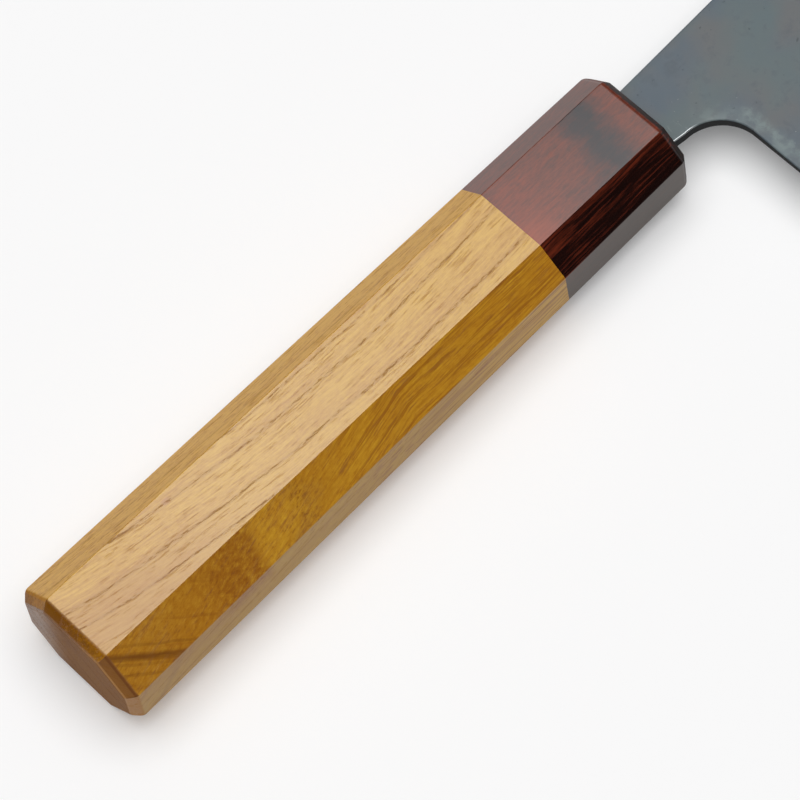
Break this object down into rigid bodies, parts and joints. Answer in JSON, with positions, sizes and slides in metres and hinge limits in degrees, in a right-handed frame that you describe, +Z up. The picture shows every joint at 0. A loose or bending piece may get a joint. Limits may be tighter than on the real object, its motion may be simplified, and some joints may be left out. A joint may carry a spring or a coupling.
{
  "type": "santoku knife",
  "caption": "Santoku kitchen knife with a laminated dark-forged blade, rounded choil and an octagonal light-wood handle with a dark ferrule, for slicing and chopping.",
  "frame": {"origin": "under the middle of the knife's bounding box, on the surface that the handle's lower flat lies on", "axes": "+X from the butt to the tip, +Y from the cutting edge to the spine, +Z up, out of the blade's right face"},
  "size_m": [0.3056, 0.0526, 0.0208],
  "materials": {
    "core_steel": "ground and honed",
    "forged_iron": "dark forge scale, satin",
    "honey_wood": "satin lacquer",
    "dark_wood": "polished",
    "dowel_wood": "bare",
    "resin": "cast"
  },
  "bodies": {
    "root": {"core_steel": "core_steel", "right_cladding": "forged_iron", "left_cladding": "forged_iron", "handle_body": "honey_wood", "ferrule": "dark_wood", "ferrule_dowel": "dowel_wood", "tang_bedding": "resin"}
  },
  "joints": []
}
